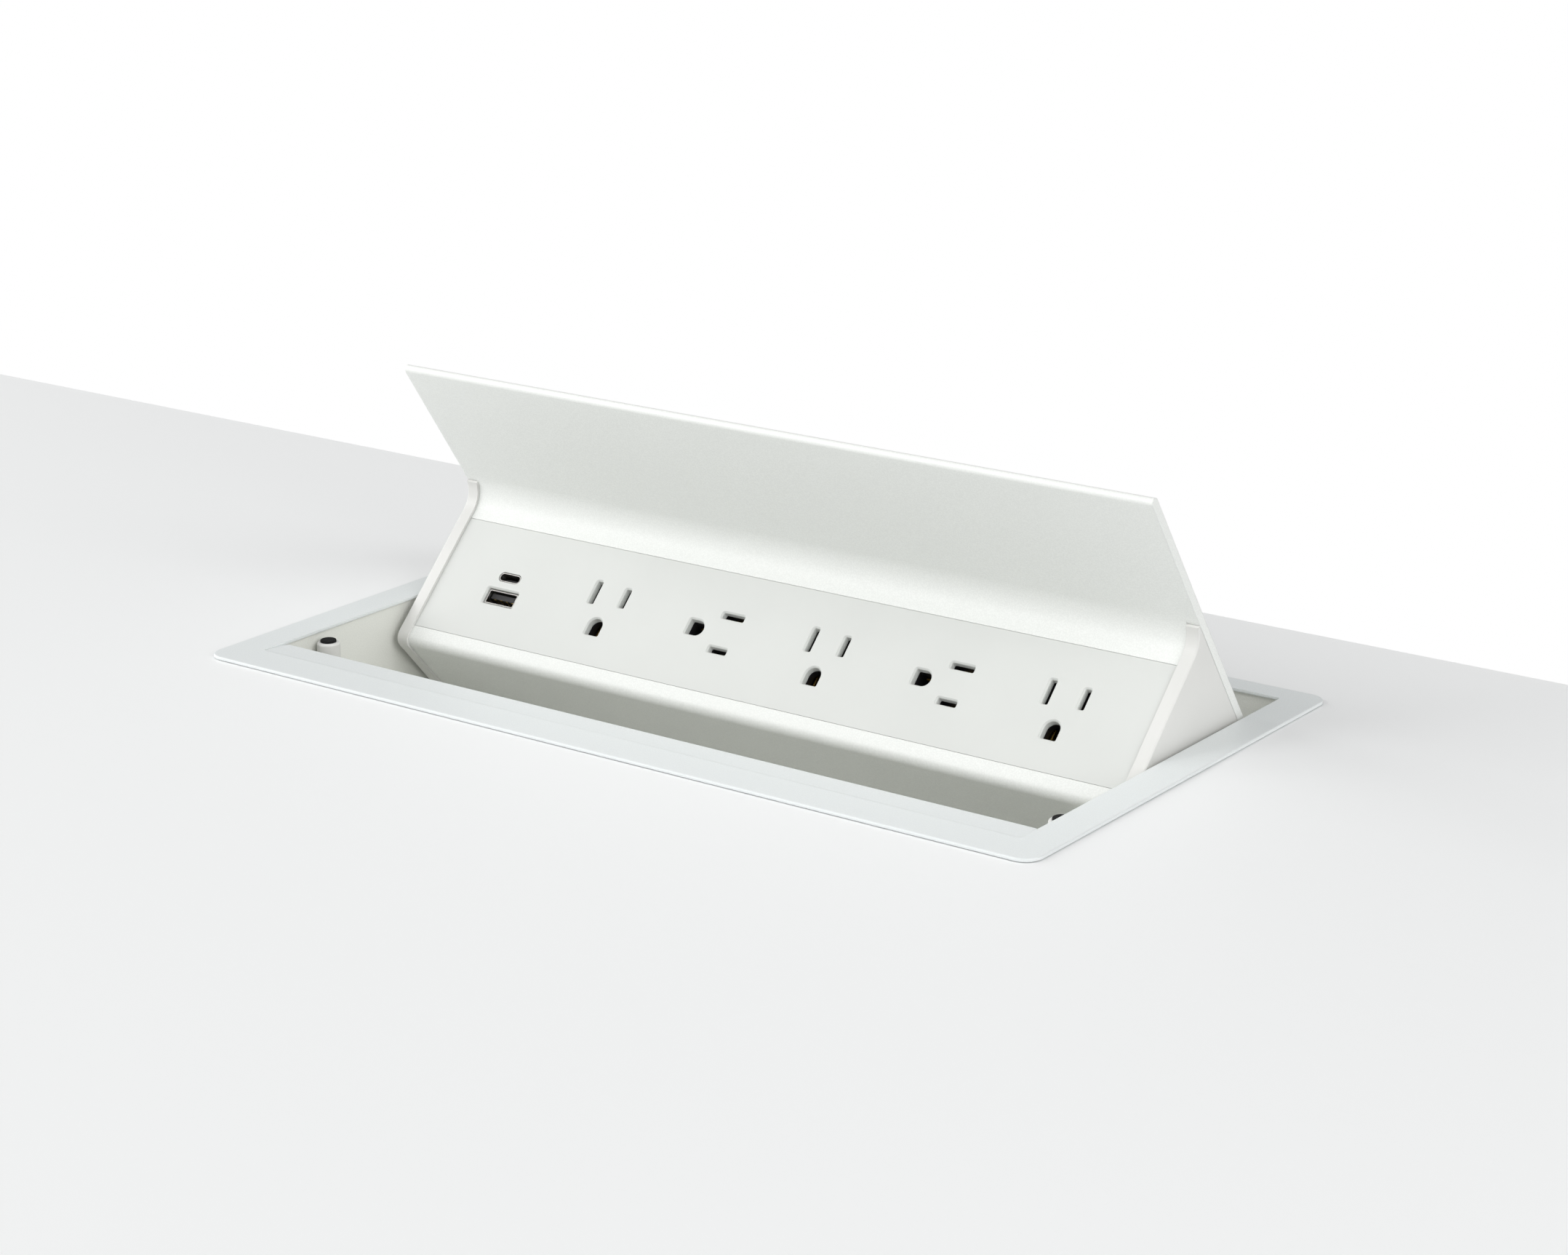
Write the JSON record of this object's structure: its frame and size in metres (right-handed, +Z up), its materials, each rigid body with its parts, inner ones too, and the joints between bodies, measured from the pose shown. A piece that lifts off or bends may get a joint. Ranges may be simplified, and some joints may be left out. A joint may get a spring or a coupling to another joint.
{
  "type": "tilt-up desk power strip",
  "caption": "Power strip for a desk cut-out: a lidded beam tilts up from a framed tub to show grounded outlets and charging sockets, and clamps under the desktop.",
  "frame": {"origin": "On the desktop, under the middle of the trim frame's front border.", "axes": "X along the length to the user's right, Y to the back of the desk, Z up."},
  "size_m": [0.351, 0.1725, 0.1548],
  "materials": {
    "trim_paint": "satin, fine grain",
    "tub_paint": "satin, fine grain",
    "beam_paint": "satin coated",
    "white_plastic": "fine satin",
    "black_rubber": "matt",
    "zinc_steel": "zinc plated",
    "bearing_plastic": "natural",
    "black_plastic": "matt",
    "brass_strip": "stamped",
    "port_steel": "bright",
    "circuit_board": "lacquered",
    "ferrite": "matt",
    "lead_insulation": "smooth"
  },
  "bodies": {
    "tub": {"trim_frame": "trim_paint", "tub_pan": "tub_paint", "tub_end_right": "tub_paint", "tub_end_left": "tub_paint", "cord_lip": "trim_paint", "tub_rivets": "zinc_steel", "bumper_post_right": "white_plastic", "bumper_post_left": "white_plastic", "bumper_pad_right": "black_rubber", "bumper_pad_left": "black_rubber", "bumper_post_screws": "zinc_steel", "open_stop_bracket_right": "zinc_steel", "open_stop_bracket_left": "zinc_steel", "open_stop_pad_right": "black_rubber", "open_stop_pad_left": "black_rubber", "pivot_bush_right": "bearing_plastic", "pivot_bush_left": "bearing_plastic", "clamp_rail_right": "zinc_steel", "clamp_rail_left": "zinc_steel", "cord_grommet": "black_rubber"},
    "beam": {"beam_extrusion": "beam_paint", "outlet_strip": "white_plastic", "end_cap_right": "white_plastic", "end_cap_left": "white_plastic", "end_cap_screws": "zinc_steel", "pivot_pin_right": "zinc_steel", "pivot_pin_left": "zinc_steel", "friction_washer_right": "bearing_plastic", "friction_washer_left": "bearing_plastic", "cord_gland": "black_plastic", "cord_gland_nut": "black_plastic", "outlet_body_1": "black_plastic", "outlet_body_2": "black_plastic", "outlet_body_3": "black_plastic", "outlet_body_4": "black_plastic", "outlet_body_5": "black_plastic", "neutral_bus_bar": "brass_strip", "line_bus_bar": "brass_strip", "ground_bus_bar": "brass_strip", "terminal_block": "black_plastic", "terminal_screws": "zinc_steel", "usb_c_shell": "port_steel", "usb_a_shell": "port_steel", "usb_c_tongue": "black_plastic", "usb_a_tongue": "black_plastic", "usb_board": "circuit_board", "usb_transformer": "ferrite", "usb_leads": "lead_insulation"},
    "clamp_right": {"clamp_foot_right": "zinc_steel", "clamp_pad_right": "black_rubber", "clamp_nut_right": "zinc_steel"},
    "knob_right": {"clamp_knob_right": "black_plastic"},
    "clamp_left": {"clamp_foot_left": "zinc_steel", "clamp_pad_left": "black_rubber", "clamp_nut_left": "zinc_steel"},
    "knob_left": {"clamp_knob_left": "black_plastic"}
  },
  "joints": [
    {"name": "beam_tilt", "type": "hinge", "parent": "tub", "child": "beam", "pos_m": [0, 0.1307, -0.01034], "axis": [1, 0, 0], "range_deg": [0, 56.2]},
    {"name": "clamp_right_slide", "type": "slide", "parent": "tub", "child": "clamp_right", "axis": [0, 0, 1], "range_m": [0, 0.022]},
    {"name": "clamp_left_slide", "type": "slide", "parent": "tub", "child": "clamp_left", "axis": [0, 0, 1], "range_m": [0, 0.022]},
    {"name": "knob_right_turn", "type": "hinge", "parent": "clamp_right", "child": "knob_right", "pos_m": [0.16, 0.08085, -0.054], "axis": [1, 0, 0], "range_deg": [0, 180]},
    {"name": "knob_left_turn", "type": "hinge", "parent": "clamp_left", "child": "knob_left", "pos_m": [-0.16, 0.08085, -0.054], "axis": [-1, 0, 0], "range_deg": [0, 180]}
  ]
}
